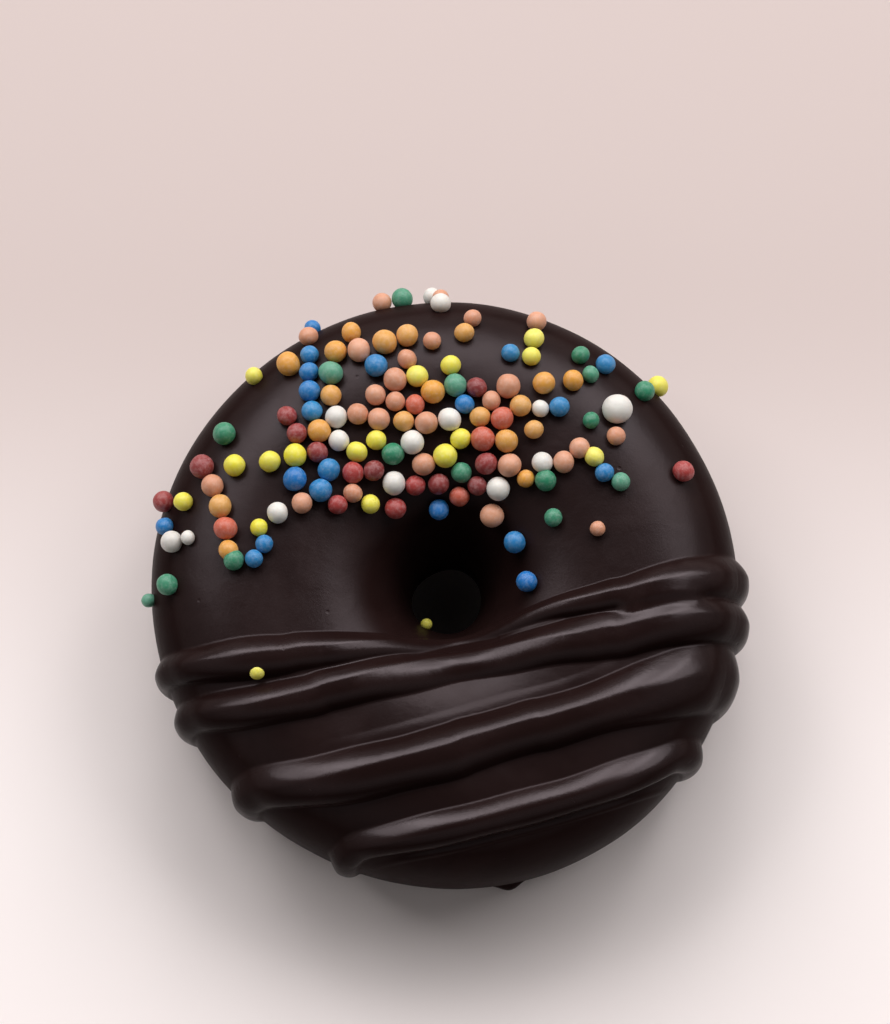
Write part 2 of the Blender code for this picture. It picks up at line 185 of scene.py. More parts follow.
# The slow unevenness of the coating, which is full from a height up and fades towards the foot
SWELL = 0.07
SWELL_LENGTH = 7.0
SWELL_FULL_FROM = 3
SWELL_SEED = 3.0

# Sprinkles, as the CAD part has them: how large they are, how much their size and roundness vary,
# the share of the radius that is sunk, and the share across the ring up to which they are seated
SPRINKLE_DIAMETER = 2.04
SPRINKLE_SPREAD = 0.12
SPRINKLE_UNROUND = 0.06
SUNK = 0.35
RIM = 0.985
SEED = 20
# Sprinkles in strings or alone: x and y of the first, heading and bend in degrees, how large they
# are beside the others, and the colours
STRINGS = [
    (-22.3, 10.0, -65, -6, 1.0, ("red", "salmon", "orange", "coral", "orange")),
    (-20.3, 13.1, 0, 0, 1.0, ("green",)),
    (-19.4, 9.9, 0, 0, 0.95, ("yellow",)),
    (-16.2, 10.2, 0, 0, 1.0, ("yellow",)),
    (-17.7, 19.1, 0, 0, 0.9, ("yellow",)),
    (-25.9, 7.4, -17, 0, 0.9, ("red", "yellow")),
    (-25.8, 4.8, -66, 0, 0.9, ("blue", "white")),
    (-23.7, 3.3, 0, 0, 0.65, ("white",)),
    (-25.4, -0.9, 0, 0, 0.9, ("green",)),
    (-28.6, -1.6, 0, 0, 0.75, ("green",)),
    (-17.2, 3.9, -72, -52, 0.9, ("yellow", "blue", "blue", "green")),
    (-15.5, 5.3, 0, 0, 0.9, ("white",)),
    (-12.4, 24.6, 0, 0, 0.85, ("blue",)),
    (-5.9, 27.3, 5, 0, 0.9, ("salmon", "green")),
    (-1.2, 28.4, -58, 0, 0.9, ("white", "salmon")),
    (-0.3, 25.9, 0, 0, 1.0, ("white",)),
    (-1.1, 21.8, 0, 0, 0.8, ("salmon",)),
    (1.9, 22.6, 64, 0, 0.9, ("orange", "salmon")),
    (8.6, 24.0, -97, 0, 0.95, ("salmon", "yellow", "yellow")),
    (6.2, 20.6, 0, 0, 0.75, ("blue",)),
    (6.0, 17.3, -58, 0, 1.0, ("salmon", "orange")),
    (9.0, 15.2, 5, 0, 0.9, ("white", "blue")),
    (8.4, 13.2, 0, 0, 0.9, ("orange",)),
    (9.3, 17.6, 0, 0, 0.95, ("orange",)),
    (12.0, 17.9, 25, 15, 0.9, ("orange", "green", "blue")),
    (12.7, 20.6, 0, 0, 0.8, ("green",)),
    (18.6, 17.4, 45, 0, 0.9, ("green", "yellow")),
    (16.0, 15.1, 0, 0, 1.3, ("white",)),
    (16.0, 12.6, 0, 0, 0.85, ("salmon",)),
    (13.7, 14.1, 0, 0, 0.9, ("green",)),
    (9.2, 10.1, 0, 42, 1.05, ("white", "salmon", "salmon")),
    (14.0, 10.6, -58, 28, 0.95, ("yellow", "blue", "green")),
    (22.1, 9.5, 0, 0, 0.95, ("red",)),
    (7.7, 8.7, -8, 0, 0.95, ("orange", "green")),
    (10.3, 5.0, 0, 0, 0.9, ("green",)),
    (14.3, 3.8, 0, 0, 0.75, ("salmon",)),
    (7.0, 3.2, 0, 0, 1.05, ("blue",)),
    (8.1, -0.8, 0, 0, 1.0, ("blue",)),
    (-12.5, 20.7, -92, 4, 0.9, ("blue", "blue", "blue", "blue")),
    (-14.6, 14.6, -62, 0, 1.05, ("red", "red")),
    (-17.2, -9.6, 0, 0, 0.75, ("yellow",)),
    (-2.2, -3.9, 0, 0, 0.5, ("yellow",)),
]
# Handfuls of sprinkles: centre x and y, half-length, half-width, tilt in degrees, and how many
HANDFULS = [
    (-3.9, 11.7, 10.2, 5.3, 0, 51),
    (-6.4, 20.4, 7.4, 2.5, -6, 13),
]
# How many places are tried for each sprinkle of a handful, to keep them evenly spread
TRIES = 5
COLOUR_SHARES = {
    "salmon": 15,
    "orange": 11,
    "red": 10,
    "yellow": 8,
    "blue": 7,
    "white": 6,
    "coral": 4,
    "green": 4,
}
SETTLE_ROUNDS = 60

# Sprinkle finish: the main and the second colour of each kind, as sRGB, mixed from ball to ball
SPRINKLE_COLOURS = {
    "yellow": ((224, 212, 52), (228, 218, 96)),
    "white": ((222, 217, 210), (206, 200, 194)),
    "blue": ((12, 106, 178), (42, 128, 178)),
    "green": ((32, 122, 86), (88, 150, 124)),
    "orange": ((216, 150, 56), (210, 156, 86)),
    "salmon": ((198, 134, 102), (212, 154, 124)),
    "coral": ((198, 98, 72), (186, 86, 66)),
    "red": ((172, 58, 54), (126, 48, 48)),
}
# The mesh of a sprinkle: how often a ball is divided, and how high and how long its lumps are
SPRINKLE_DETAIL = 4
SPRINKLE_LUMPS = 0.035
LUMP_LENGTH = 0.9
LUMP_SEED = 5.0
# Paler specks in the sugar: their noise, the levels it is cut at, how white they are, how far the
# colour goes towards that white, and how much of it shows. Every noise of a finish is given as its
# length, its detail, its roughness and, where it has one, its distortion
SPECKS = (0.35, 3.0, 0.65)
SPECK_LEVELS = (0.40, 0.72)
SPECK_WHITE = 0.8
SPECK_PALENESS = 0.4
SPECK_SHARE = 0.30
SUGAR_ROUGHNESS = (0.42, 0.66)
# Relief of the sugar: the noise of its bumps and of its grain, then the depth and strength of each
SUGAR_BUMPS = (0.5, 3.0, 0.6)
SUGAR_BUMPS_DEPTH = (0.05, 0.6)
SUGAR_GRAIN = (0.09, 2.0, 0.7)
SUGAR_GRAIN_DEPTH = (0.012, 0.7)
# Light inside the sugar: how much of it spreads, and how far, as each colour's share of a length
SUGAR_GLOW = 0.12
SUGAR_GLOW_COLOUR = (1.0, 0.7, 0.5)
SUGAR_GLOW_LENGTH = 0.4

# Chocolate finish: two colours, mixed by large clouds, and a roughness that clouds and small
# smudges change together
CHOCOLATE = (28, 16, 15)
CHOCOLATE_PALE = (33, 20, 19)
CLOUDS = (9.0, 4.0, 0.55, 0.6)
CLOUD_LEVELS = (0.35, 0.68)
CLOUD_SHARE = 0.6
SMUDGES = (2.6, 5.0, 0.6, 1.2)
SMUDGE_LEVELS = (0.42, 0.75)
SMUDGE_SHARE = 0.4
# Its roughness on the piped lines, how much rougher it is between them, and the share of the gloss
# that is left there. A place counts as piped from this many millimetres above the bare ring
CHOCOLATE_ROUGHNESS = (0.21, 0.29)
SATIN = 0.12
SATIN_GLOSS = 0.65
PIPED_RISE = 0.5
# The gloss of level chocolate. It fades where the surface is steep, by how upright its normal is
CHOCOLATE_GLOSS = 0.34
CHOCOLATE_SHEEN = (1.0, 0.85, 0.90, 1.0)
DULL_BELOW, GLOSSY_ABOVE = 0.64, 0.90
DULL_GLOSS = 0.015
# Relief of the coating: the noise and depth of ripples and grain, and for bubbles the space between
# them, where their wall starts and ends as a share of that space, their depth and their strength
RIPPLES = (3.4, 3.0, 0.5, 0.4)
RIPPLE_DEPTH = 0.06
GRAIN = (0.22, 4.0, 0.7)
GRAIN_DEPTH = 0.012
BUBBLE_SPACE = 3.2
BUBBLE_WALL = (0.02, 0.075)
BUBBLE_DEPTH = (0.05, 0.6)

# Camera: the angle of view, its distance and lens, the size and scale of the image, and the place
# on the image where the doughnut's middle falls, at this height over the floor
ELEVATION = 78.0
DISTANCE = 420.0
SENSOR_HEIGHT = 24.0
NEAREST_SEEN = 10.0
IMAGE_SIZE_PX = (890, 1024)
PIXELS_PER_MM = 10.5
OBJECT_PX = (444.0, 591.0)
OBJECT_HEIGHT = 9.0

# The window's panes: how strong and large each is, how far away and how high they stand, in which
# directions, in degrees to the right of straight behind, and the height over the floor they face
PANE_WATTS = 2.85
PANE_SIZE = (600, 540)
PANE_DISTANCE = 647
PANE_HEIGHT = 585
PANE_DIRECTIONS = (-48, -15, 18, 51)
PANE_TARGET = 10.0
ROOM_COLOUR = (1.0, 0.98, 0.97, 1.0)
# The room's light is the product of two ramps, each as the axis of the direction looked in, from
# where to where on it, and the brightness at these two
ROOM_BY_DEPTH = ("Y", (-0.5, 0.4), (0.22, 0.35))
ROOM_BY_HEIGHT = ("Z", (0.98, 0.70), (0.02, 1.0))

# The floor: its colour in front and behind, between which places it changes, and its finish
FLOOR_FRONT = (254, 243, 241)
FLOOR_BACK = (210, 193, 189)
FLOOR_CHANGE = (-25, 35)
FLOOR_CLOUDS = 12.0
FLOOR_ROUGHNESS = (0.75, 0.85)
FLOOR_GLOSS = 0.2
FLOOR_SIZE = 1200.0


def waves(theta, table):
    return sum(size * np.cos(n * (theta - np.radians(peak))) for n, (size, peak) in table.items())


def signed_power(value, power):
    return np.sign(value) * np.abs(value) ** power


def section(turn):
    """Share of the way across the ring, from its hole to its outline, and height."""
    cosine, sine = np.cos(turn), np.sin(turn)
    crown, side = 2 / CROWN_FULLNESS, 2 / SIDE_FULLNESS
    hole_side = FOOT_INSIDE * (1 - np.abs(cosine) ** side)
    outer_side = FOOT_OUTSIDE + (1 - FOOT_OUTSIDE) * np.abs(cosine) ** side
    on_side = np.where(cosine < 0, outer_side, hole_side)
    across = np.where(sine >= 0, 0.5 - 0.5 * signed_power(cosine, crown), on_side)
    above = (HEIGHT - WIDEST_HEIGHT) * np.abs(sine) ** crown
    below = WIDEST_HEIGHT * np.abs(sine) ** side
    return across, WIDEST_HEIGHT + np.where(sine >= 0, above, -below)


def bare_ring(theta, turn):
    """Points on the ring before the lines are piped over it."""
    across, height = section(turn)
    inner = HOLE_MOUTH + waves(theta, HOLE_WAVES)
    outer = OUTER_RADIUS + waves(theta, OUTLINE_WAVES)
    neck = np.exp(-(((height - NECK_HEIGHT) / NECK_LENGTH) ** 2)) * (1 - across) ** NECK_FADE
    radius = inner * (1 - across) + outer * across - (HOLE_MOUTH - HOLE_RADIUS) * neck
    swell = 1 + waves(theta, CREST_WAVES) / (HEIGHT - WIDEST_HEIGHT)
    crown_height = WIDEST_HEIGHT + (height - WIDEST_HEIGHT) * swell
    height = np.where(height > WIDEST_HEIGHT, crown_height, height)
    x = HOLE_CENTRE[0] * (1 - across) + radius * np.cos(theta)
    y = HOLE_CENTRE[1] * (1 - across) + radius * np.sin(theta)
    return np.stack([x, y, height], axis=-1)


def outward(theta, turn):
    """Unit normals of the bare ring."""
    step = 0.01
    round_ring = bare_ring(theta + step, turn) - bare_ring(theta - step, turn)
    round_section = bare_ring(theta, turn + step) - bare_ring(theta, turn - step)
    normal = np.cross(round_section, round_ring)
    return normal / np.linalg.norm(normal, axis=-1, keepdims=True)


def locate(x, y):
    """The theta and the share across of places in plan, found by halving the interval."""
    low, high = (np.full(np.shape(x), share) for share in SHARES_SEARCHED)
    for _ in range(HALVINGS):
        across = (low + high) / 2
        dx, dy = x - HOLE_CENTRE[0] * (1 - across), y - HOLE_CENTRE[1] * (1 - across)
        theta = np.arctan2(dy, dx)
        inner = HOLE_MOUTH + waves(theta, HOLE_WAVES)
        outer = OUTER_RADIUS + waves(theta, OUTLINE_WAVES)
        further_out = np.hypot(dx, dy) > inner * (1 - across) + outer * across
        low, high = np.where(further_out, across, low), np.where(further_out, high, across)
    return theta, across


def crown_turn(across):
    return np.arccos(signed_power(1 - 2 * np.clip(across, 0, 1), CROWN_FULLNESS / 2))


def smooth_route(points):
    """Close points on a Catmull-Rom curve through the route's own points."""
    ends = np.array([points[0]] + points + [points[-1]])
    pieces = []
    for a, b, c, d in zip(ends, ends[1:], ends[2:], ends[3:]):
        count = max(1, round(np.hypot(*(c - b)[:2]) / LINE_STEP))
        t = (np.arange(count) / count)[:, None]
        bend, twist = 2 * a - 5 * b + 4 * c - d, 3 * b - a - 3 * c + d
        pieces.append(b + 0.5 * ((c - a) * t + bend * t**2 + twist * t**3))
    return np.concatenate(pieces + [ends[-1:]])


def round_corners(values):
    """A running mean along a line, which leaves its two ends where they are."""
    reach = CORNER_POINTS // 2
    before = 2 * values[0] - values[reach:0:-1]
    after = 2 * values[-1] - values[-2 : -reach - 2 : -1]
    window = np.ones(CORNER_POINTS) / CORNER_POINTS
    return np.convolve(np.concatenate([before, values, after]), window, "valid")


def lay_line(points):
    """A line's places on the bare ring, with its half-widths and heights, down both side walls."""
    x, y, half, rise = smooth_route(points).T
    theta, across = locate(x, y)
    turn = crown_turn(across)
    over = (turn < WALL_TURN) & (across < 1)
    laid = [values[over] for values in (theta, turn, half, LINE_RISE * rise)]
    wall_turns = np.linspace(np.pi, 1.5 * np.pi, SAMPLES)
    lowest = np.interp(-LINE_END_HEIGHT, -section(wall_turns)[1], wall_turns)
    down = np.linspace(0, 1, WALL_POINTS)[1:]
    walls = []
    for end in (0, -1):
        theta, turn, half, rise = (values[end] for values in laid)
        thinner = half * (1 - (1 - WALL_HALF_WIDTH) * down)
        lower = rise * (1 - (1 - WALL_RISE) * down)
        walls.append((np.full(down.shape, theta), turn + (lowest - turn) * down, thinner, lower))
    whole = zip(walls[0], laid, walls[1])
    return [round_corners(np.concatenate([left[::-1], top, right])) for left, top, right in whole]


def rope_height(share):
    """Height of a line, as a share of its crest, from -1 at its front edge to 1 at its back edge."""
    behind = share > LINE_LEAN
    from_crest = np.abs(share - LINE_LEAN) / np.where(behind, 1 - LINE_LEAN, 1 + LINE_LEAN)
    flatness = np.where(behind, BACK_FLATNESS, FRONT_FLATNESS)
    return (1 - np.clip(from_crest, 0, 1) ** flatness) ** LINE_ROUNDNESS


def laid_folds():
    """The thin folds beside the lines, each as its places on the bare ring, half-widths and heights."""
    for name, side, first_x, last_x, tip, fold_half, fold_rise in FOLDS:
        route = smooth_route(LINES[name])
        heading = np.gradient(route[:, :2], axis=0)
        heading /= np.linalg.norm(heading, axis=1)[:, None]
        x = route[:, 0] - heading[:, 1] * side * route[:, 2]
        y = route[:, 1] + heading[:, 0] * side * route[:, 2]
        kept = (x > first_x) & (x < last_x)
        theta, across = locate(x[kept], y[kept])
        from_end = np.minimum(x[kept] - first_x, last_x - x[kept])
        fade = np.sqrt(np.clip(from_end / tip, 0, 1))
        yield bare_ring(theta, crown_turn(across)), fold_half * np.ones(len(fade)), fold_rise * fade


def laid_lines():
    """The piped lines, each as its places on the bare ring, half-widths and heights."""
    for number, route in enumerate(LINES.values()):
        theta, turn, half, rise = lay_line(route)
        places = bare_ring(theta, turn)
        along = lengths_along(places)
        tip = np.clip(np.minimum(along, along[-1] - along) / TIP_LENGTH, 0, 1)
        waver = 1 + WAVER * np.sin(2 * np.pi * along / WAVER_LENGTH + WAVER_SHIFT * number)
        dip = 1 - RIM_DIP * np.exp(-(((turn - RIM_TURN) / RIM_WIDTH) ** 2))
        yield places, half * waver, rise * dip * np.sqrt(1 - (1 - tip) ** 2)


def lengths_along(places):
    return np.concatenate([[0], np.cumsum(np.linalg.norm(np.diff(places, axis=0), axis=1))])


def rise_of_lines(points):
    """How far the piped lines stand above the bare ring at these points."""
    total = np.zeros(len(points))
    for places, half, rise in [*laid_lines(), *laid_folds()]:
        along = lengths_along(places)
        even = np.arange(0, along[-1], LINE_SAMPLE)
        places = np.stack([np.interp(even, along, places[:, k]) for k in range(3)], axis=1)
        half, rise = np.interp(even, along, half), np.interp(even, along, rise)
        heading = np.gradient(places, LINE_SAMPLE, axis=0)
        rough = [np.linalg.norm(points - place, axis=1) for place in places[::ROUGH_STEP]]
        close = np.nonzero(np.min(rough, axis=0) < half.max() + ROUGH_STEP * LINE_SAMPLE)[0]
        for some in np.array_split(close, len(close) // BATCH + 1):
            offset = points[some][:, None] - places[None]
            index = np.linalg.norm(offset, axis=2).argmin(axis=1)
            offset = offset[np.arange(len(some)), index]
            ahead = np.clip((offset * heading[index]).sum(axis=1), -LINE_SAMPLE, LINE_SAMPLE)
            aside = np.sqrt(np.maximum((offset**2).sum(axis=1) - ahead**2, 0)) * np.sign(offset[:, 1])
            here = even[index] + ahead
            height = np.interp(here, even, rise) * rope_height(aside / np.interp(here, even, half))
            total[some] += height**LINE_MERGE
    return total ** (1 / LINE_MERGE)


def nub(points, theta):
    """How far the nub at the foot stands out from these points."""
    off = (theta - math.radians(NUB_THETA) + np.pi) % (2 * np.pi) - np.pi
    sideways = np.exp(-((off * OUTER_RADIUS / NUB_WIDTH) ** 2))
    low = np.clip(1 - points[:, 2] / NUB_HEIGHT, 0, 1) ** 0.5
    return NUB_REACH * sideways * low * (np.hypot(points[:, 0], points[:, 1]) > OUTER_RADIUS / 2)


def slow_noise(points, length, seed):
    """Smooth noise between -1 and 1 at these points."""
    shift = Vector((seed, 0.7 * seed, -seed))
    return np.array([noise.noise(Vector(p) / length + shift) for p in points])


def coating(theta, turn):
    """Points of the finished coating, and how far the piped lines stand above it there."""
    points = bare_ring(theta, turn)
    fade = np.clip(points[:, 2] / SWELL_FULL_FROM, 0, 1)
    uneven = SWELL * slow_noise(points, SWELL_LENGTH, SWELL_SEED) * fade
    piped = rise_of_lines(points)
    out = nub(points, theta)
    points = points + outward(theta, turn) * (piped + uneven)[:, None]
    points[:, 0] += out * np.cos(theta)
    points[:, 1] += out * np.sin(theta)
    points[:, 2] = np.maximum(points[:, 2], 0)
    return points, piped


def even_turns(count):
    """Turns along the cross-section without its flat base, with more of them over the crown."""
    fine = np.linspace(-0.5 * np.pi + BASE_EDGE, 1.5 * np.pi - BASE_EDGE, SAMPLES)
    across, height = section(fine)
    width = OUTER_RADIUS - HOLE_MOUTH
    steps = np.hypot(np.diff(across) * width, np.diff(height))
    steps *= np.where((height[1:] > WIDEST_HEIGHT) & (across[1:] > CROWN_FROM), CROWN_DENSITY, 1)
    length = np.concatenate([[0], np.cumsum(steps)])
    return np.interp(np.linspace(0, length[-1], count), length, fine)


def place_sprinkles():
    """Every sprinkle as [x, y, radius, colour] in plan: the strings, then the handfuls round them."""
    draw = random.Random(SEED)

    def some_radius():
        return SPRINKLE_DIAMETER / 2 * (1 + draw.uniform(-SPRINKLE_SPREAD, SPRINKLE_SPREAD))

    strings = []
    for x, y, heading, bend, size, colours in STRINGS:
        radius = size * some_radius()
        for colour in colours:
            strings.append([x, y, radius, colour])
            following = size * some_radius()
            x += (radius + following) * math.cos(math.radians(heading))
            y += (radius + following) * math.sin(math.radians(heading))
            heading += bend
            radius = following
    bag = [colour for colour, share in COLOUR_SHARES.items() for _ in range(share)]
    draw.shuffle(bag)
    handfuls = []
    for centre_x, centre_y, half_length, half_width, tilt, count in HANDFULS:
        lean = math.radians(tilt)
        for _ in range(count):
            tried = []
            for _ in range(TRIES):
                u, v = half_length * draw.uniform(-1, 1), half_width * draw.uniform(-1, 1)
                x = centre_x + u * math.cos(lean) - v * math.sin(lean)
                y = centre_y + u * math.sin(lean) + v * math.cos(lean)
                nearest = min(math.hypot(x - ball[0], y - ball[1]) for ball in strings + handfuls)
                tried.append((nearest, x, y))
            handfuls.append([*max(tried)[1:], some_radius(), bag[len(handfuls) % len(bag)]])
    settle(handfuls, strings)
    return strings + handfuls


def settle(loose, fixed):
    """Pushes loose sprinkles apart until they lie beside each other and beside the fixed ones."""
    for _ in range(SETTLE_ROUNDS):
        for i, ball in enumerate(loose):
            for other in loose[:i]:
                push_apart(ball, other, 0.5)
            for other in fixed:
                push_apart(ball, other, 0.0)


def push_apart(ball, other, others_share):
    dx, dy = ball[0] - other[0], ball[1] - other[1]
    gap = max(math.hypot(dx, dy), 1e-6)
    overlap = ball[2] + other[2] - gap
    if overlap > 0:
        ball[0] += dx / gap * overlap * (1 - others_share)
        ball[1] += dy / gap * overlap * (1 - others_share)
        other[0] -= dx / gap * overlap * others_share
        other[1] -= dy / gap * overlap * others_share


def seats(sprinkles):
    """The centres of the sprinkles, each sunk a little into the coating under it."""
    x, y, radius = np.array([sprinkle[:3] for sprinkle in sprinkles]).T
    theta, across = locate(x, y)
    turn = crown_turn(np.minimum(across, RIM))
    return bare_ring(theta, turn) + outward(theta, turn) * (radius * (1 - SUNK))[:, None]


def linear(colour):
    """An sRGB colour of 0 to 255 as the linear RGBA that a shader takes."""
    parts = [c / 255 for c in colour]
    return tuple(c / 12.92 if c < 0.04045 else ((c + 0.055) / 1.055) ** 2.4 for c in parts) + (1.0,)


class Nodes:
    """A new material's node tree, with short calls to add and wire its nodes."""

    def __init__(self, name):
        self.material = bpy.data.materials.new(name)
        self.material.use_nodes = True
        self.tree = self.material.node_tree
        self.shader = self.tree.nodes["Principled BSDF"]
        self.place = self.add("ShaderNodeTexCoord").outputs["Object"]

    def add(self, kind, inputs=None, **settings):
        node = self.tree.nodes.new(kind)
        for key, value in settings.items():
            setattr(node, key, value)
        for key, value in (inputs or {}).items():
            self.set(node.inputs[key], value)
        return node

    def set(self, socket, value):
        if isinstance(value, bpy.types.NodeSocket):
            self.tree.links.new(value, socket)
        else:
            socket.default_value = value

    def finish(self, inputs):
        """Gives the shader these values or wires, and returns the material."""
        for key, value in inputs.items():
            self.set(self.shader.inputs[key], value)
        return self.material

    def axis(self, vector, name):
        return self.add("ShaderNodeSeparateXYZ", {"Vector": vector}).outputs[name]

    def attribute(self, name):
        return self.add("ShaderNodeAttribute", attribute_name=name).outputs["Fac"]

    def noise(self, length, detail=3.0, rough=0.5, distortion=0.0):
        """Noise with features of about this many millimetres."""
        inputs = {"Vector": self.place, "Scale": 1 / (length * MM), "Detail": detail}
        inputs |= {"Roughness": rough, "Distortion": distortion}
        return self.add("ShaderNodeTexNoise", inputs).outputs["Fac"]

    def ramp(self, value, low, high, out_low=0.0, out_high=1.0):
        inputs = {"Value": value, "From Min": low, "From Max": high}
        inputs |= {"To Min": out_low, "To Max": out_high}
        return self.add("ShaderNodeMapRange", inputs, interpolation_type="SMOOTHSTEP").outputs["Result"]

    def maths(self, operation, a, b):
        return self.add("ShaderNodeMath", {0: a, 1: b}, operation=operation).outputs[0]

    def mix(self, factor, a, b):
        node = self.add("ShaderNodeMix", {0: factor, 6: a, 7: b}, data_type="RGBA")
        return node.outputs[2]

    def bump(self, height, distance, strength=1.0, normal=None):
        inputs = {"Height": height, "Distance": distance * MM, "Strength": strength}
        if normal:
            inputs["Normal"] = normal
        return self.add("ShaderNodeBump", inputs).outputs["Normal"]


def chocolate():
    nodes = Nodes("dark_chocolate")
    cloud = nodes.ramp(nodes.noise(*CLOUDS), *CLOUD_LEVELS)
    smudge = nodes.ramp(nodes.noise(*SMUDGES), *SMUDGE_LEVELS)
    of_cloud = nodes.maths("MULTIPLY", cloud, CLOUD_SHARE)
    of_smudge = nodes.maths("MULTIPLY", smudge, SMUDGE_SHARE)
    uneven = nodes.ramp(nodes.maths("ADD", of_cloud, of_smudge), 0.0, 1.0, *CHOCOLATE_ROUGHNESS)
    piped = nodes.attribute("piped")
    satin = nodes.ramp(piped, 0.0, 1.0, SATIN, 0.0)
    upright = nodes.axis(nodes.add("ShaderNodeTexCoord").outputs["Normal"], "Z")
    gloss = nodes.ramp(upright, DULL_BELOW, GLOSSY_ABOVE, DULL_GLOSS, CHOCOLATE_GLOSS)
    bubbles = nodes.add("ShaderNodeTexVoronoi", {"Vector": nodes.place, "Scale": 1 / (BUBBLE_SPACE * MM)})
    normal = nodes.bump(nodes.noise(*RIPPLES), RIPPLE_DEPTH)
    normal = nodes.bump(nodes.noise(*GRAIN), GRAIN_DEPTH, normal=normal)
    normal = nodes.bump(nodes.ramp(bubbles.outputs["Distance"], *BUBBLE_WALL), *BUBBLE_DEPTH, normal)
    return nodes.finish(
        {
            "Base Color": nodes.mix(cloud, linear(CHOCOLATE), linear(CHOCOLATE_PALE)),
            "Roughness": nodes.maths("ADD", uneven, satin),
            "Normal": normal,
            "Specular IOR Level": nodes.maths("MULTIPLY", gloss, nodes.ramp(piped, 0.0, 1.0, SATIN_GLOSS)),
            "Specular Tint": CHOCOLATE_SHEEN,
        }
    )


def sugar(name, colours):
    nodes = Nodes(f"sugar_{name}")
    speck = nodes.ramp(nodes.noise(*SPECKS), *SPECK_LEVELS)
    main, second = (linear(colour) for colour in colours)
    pale = tuple((1 - SPECK_PALENESS) * c + SPECK_PALENESS * SPECK_WHITE for c in main[:3]) + (1.0,)
    plain = nodes.mix(nodes.attribute("tone"), main, second)
    normal = nodes.bump(nodes.noise(*SUGAR_BUMPS), *SUGAR_BUMPS_DEPTH)
    normal = nodes.bump(nodes.noise(*SUGAR_GRAIN), *SUGAR_GRAIN_DEPTH, normal)
    return nodes.finish(
        {
            "Base Color": nodes.mix(nodes.maths("MULTIPLY", speck, SPECK_SHARE), plain, pale),
            "Roughness": nodes.ramp(speck, 0.0, 1.0, *SUGAR_ROUGHNESS),
            "Normal": normal,
            "Subsurface Weight": SUGAR_GLOW,
            "Subsurface Radius": SUGAR_GLOW_COLOUR,
            "Subsurface Scale": SUGAR_GLOW_LENGTH * MM,
        }
    )


def floor_finish():
    nodes = Nodes("pale_floor")
    front_end, back_end = (place * MM for place in FLOOR_CHANGE)
    backward = nodes.ramp(nodes.axis(nodes.place, "Y"), front_end, back_end)
    return nodes.finish(
        {
            "Base Color": nodes.mix(backward, linear(FLOOR_FRONT), linear(FLOOR_BACK)),
            "Roughness": nodes.ramp(nodes.noise(FLOOR_CLOUDS), 0.0, 1.0, *FLOOR_ROUGHNESS),
            "Specular IOR Level": FLOOR_GLOSS,
        }
    )


def make_piece(name, points, faces, material):
    """A smooth mesh that stands for the doughnut's node and rides on its body."""
    mesh = bpy.data.meshes.new(name)
    mesh.from_pydata((points * MM).tolist(), [], faces)
    mesh.shade_smooth()
    mesh.materials.append(material)
    made = bpy.data.objects.new(name, mesh)
    bpy.context.scene.collection.objects.link(made)
    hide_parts(NODE)
    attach(made, "root")
    return made


def set_values(made, name, values):
    """Gives each point of a mesh a number that its material can read by this name."""
    attribute = made.data.attributes.new(name, "FLOAT", "POINT")
    attribute.data.foreach_set("value", values)


def make_coating():
    front = np.linspace(FRONT_FROM, FRONT_TO, FRONT_COLUMNS, endpoint=False)
    back = np.linspace(FRONT_TO, FRONT_FROM + 360, BACK_COLUMNS, endpoint=False)
    thetas = np.radians(np.concatenate([front, back]))
    columns = len(thetas)
    theta, turn = (grid.ravel() for grid in np.meshgrid(thetas, even_turns(ROWS), indexing="ij"))
    points, piped = coating(theta, turn)
    points.reshape(columns, ROWS, 3)[:, (0, -1), 2] = 0
    faces = []
    for column in range(columns):
        here, there = column * ROWS, (column + 1) % columns * ROWS
        for row in range(ROWS):
            after = (row + 1) % ROWS
            faces.append((here + row, there + row, there + after, here + after))
    coat = make_piece("coating", points, faces, chocolate())
    set_values(coat, "piped", np.clip(piped / PIPED_RISE, 0, 1))


def unit_ball():
    """Points and faces of a round ball of radius 1."""
    ball = bmesh.new()
    bmesh.ops.create_icosphere(ball, subdivisions=SPRINKLE_DETAIL, radius=1.0)
    points = np.array([v.co[:] for v in ball.verts])
    faces = np.array([[v.index for v in f.verts] for f in ball.faces])
    ball.free()
    return points, faces


def make_sprinkles():
    ball, ball_faces = unit_ball()
    sprinkles = place_sprinkles()
    draw = random.Random(SEED + 1)
    kinds = {colour: ([], [], []) for colour in SPRINKLE_COLOURS}
    for i, centre in enumerate(seats(sprinkles)):
        radius, colour = sprinkles[i][2:]
        radii = [radius * (1 + draw.uniform(-SPRINKLE_UNROUND, SPRINKLE_UNROUND)) for _ in range(3)]
        turned = np.array(Euler([draw.uniform(0, 2 * math.pi) for _ in range(3)]).to_matrix())
        lumps = 1 + SPRINKLE_LUMPS * slow_noise(ball, LUMP_LENGTH, LUMP_SEED + i)
        points, faces, tones = kinds[colour]
        faces.append(ball_faces + sum(len(p) for p in points))
        points.append((ball * lumps[:, None] * radii) @ turned.T + centre)
        tones.append(np.full(len(ball), draw.random()))
    for colour, (points, faces, tones) in kinds.items():
        finish = sugar(colour, SPRINKLE_COLOURS[colour])
        points, faces = np.concatenate(points), np.concatenate(faces).tolist()
        made = make_piece(f"sprinkles_{colour}", points, faces, finish)
        set_values(made, "tone", np.concatenate(tones))


def make_floor():
    half = FLOOR_SIZE * MM / 2
    mesh = bpy.data.meshes.new("floor")
    corners = [(-half, -half, 0), (half, -half, 0), (half, half, 0), (-half, half, 0)]
    mesh.from_pydata(corners, [], [(0, 1, 2, 3)])
    mesh.materials.append(floor_finish())
    floor = bpy.data.objects.new("floor", mesh)
    bpy.context.scene.collection.objects.link(floor)


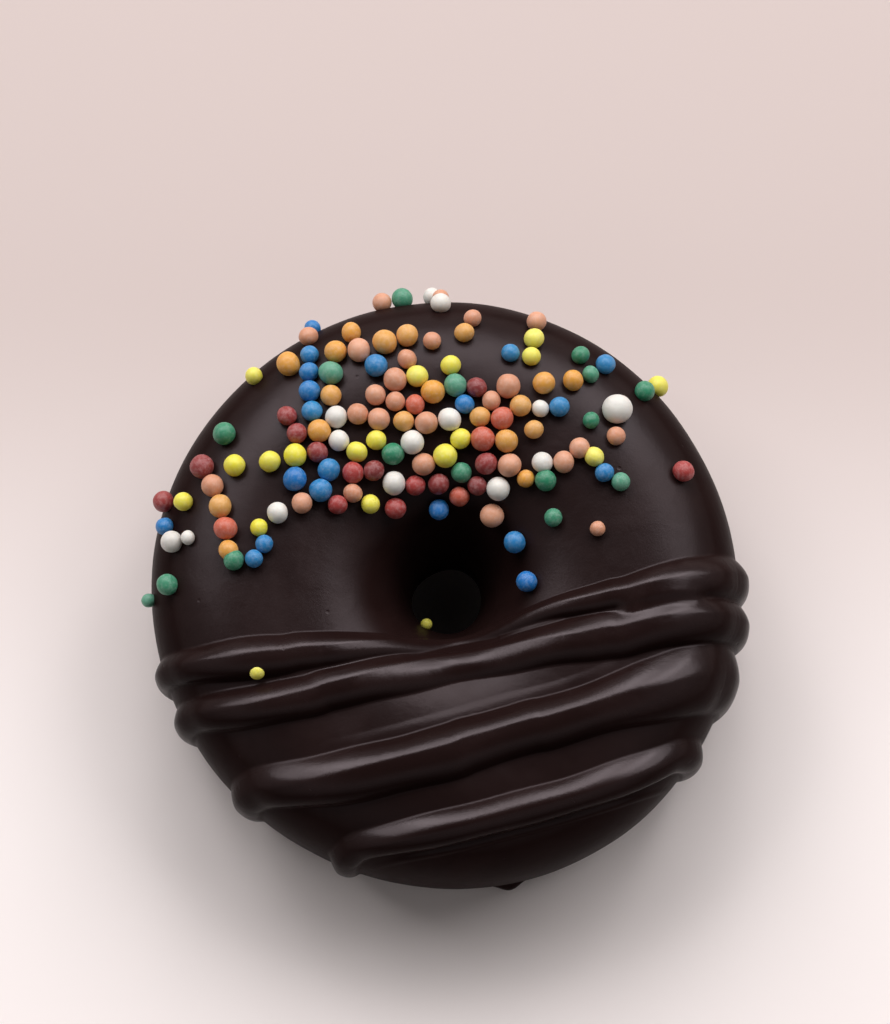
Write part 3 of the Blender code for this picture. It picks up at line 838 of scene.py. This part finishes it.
def make_window():
    """A wide window behind the doughnut, as panes of soft light that face it."""
    for direction in PANE_DIRECTIONS:
        angle = math.radians(direction)
        sideways, behind = PANE_DISTANCE * math.sin(angle), PANE_DISTANCE * math.cos(angle)
        place = Vector((sideways, behind, PANE_HEIGHT))
        data = bpy.data.lights.new("window_pane", "AREA")
        data.shape = "RECTANGLE"
        data.size, data.size_y = (side * MM for side in PANE_SIZE)
        data.energy = PANE_WATTS
        pane = bpy.data.objects.new("window_pane", data)
        pane.location = place * MM
        facing = Vector((0.0, 0.0, PANE_TARGET)) - place
        pane.rotation_euler = facing.to_track_quat("-Z", "Y").to_euler()
        bpy.context.scene.collection.objects.link(pane)


def make_room():
    """The room's own light, which is dark in front and overhead."""
    world = bpy.data.worlds.new("studio")
    world.use_nodes = True
    tree = world.node_tree
    direction = tree.nodes.new("ShaderNodeTexCoord").outputs["Generated"]
    split = tree.nodes.new("ShaderNodeSeparateXYZ")
    tree.links.new(direction, split.inputs["Vector"])
    parts = []
    for axis, (low, high), (dark, pale) in (ROOM_BY_DEPTH, ROOM_BY_HEIGHT):
        node = tree.nodes.new("ShaderNodeMapRange")
        node.interpolation_type = "SMOOTHSTEP"
        tree.links.new(split.outputs[axis], node.inputs["Value"])
        for key, value in zip(("From Min", "From Max", "To Min", "To Max"), (low, high, dark, pale)):
            node.inputs[key].default_value = value
        parts.append(node.outputs["Result"])
    both = tree.nodes.new("ShaderNodeMath")
    both.operation = "MULTIPLY"
    tree.links.new(parts[0], both.inputs[0])
    tree.links.new(parts[1], both.inputs[1])
    background = tree.nodes["Background"]
    background.inputs["Color"].default_value = ROOM_COLOUR
    tree.links.new(both.outputs[0], background.inputs["Strength"])
    bpy.context.scene.world = world
    bpy.context.scene.view_settings.view_transform = "Standard"


def make_camera():
    """The camera looks steeply down from the front, with the ring's middle at its place on the image."""
    tilt = math.radians(ELEVATION)
    back = Vector((0.0, -math.cos(tilt), math.sin(tilt)))
    up = Vector((0.0, math.sin(tilt), math.cos(tilt)))
    width, height = IMAGE_SIZE_PX
    data = bpy.data.cameras.new("camera")
    data.sensor_fit = "VERTICAL"
    data.sensor_height = SENSOR_HEIGHT
    data.lens = SENSOR_HEIGHT * DISTANCE / (height / PIXELS_PER_MM)
    data.clip_start = NEAREST_SEEN * MM
    right_by = (width / 2 - OBJECT_PX[0]) / PIXELS_PER_MM
    up_by = (OBJECT_PX[1] - height / 2) / PIXELS_PER_MM
    middle = Vector((right_by, 0.0, OBJECT_HEIGHT)) + up * up_by
    camera = bpy.data.objects.new("camera", data)
    camera.location = (middle + back * DISTANCE) * MM
    camera.rotation_euler = (math.pi / 2 - tilt, 0.0, 0.0)
    bpy.context.scene.collection.objects.link(camera)
    bpy.context.scene.camera = camera


make_camera()
make_coating()
make_sprinkles()
make_floor()
make_window()
make_room()
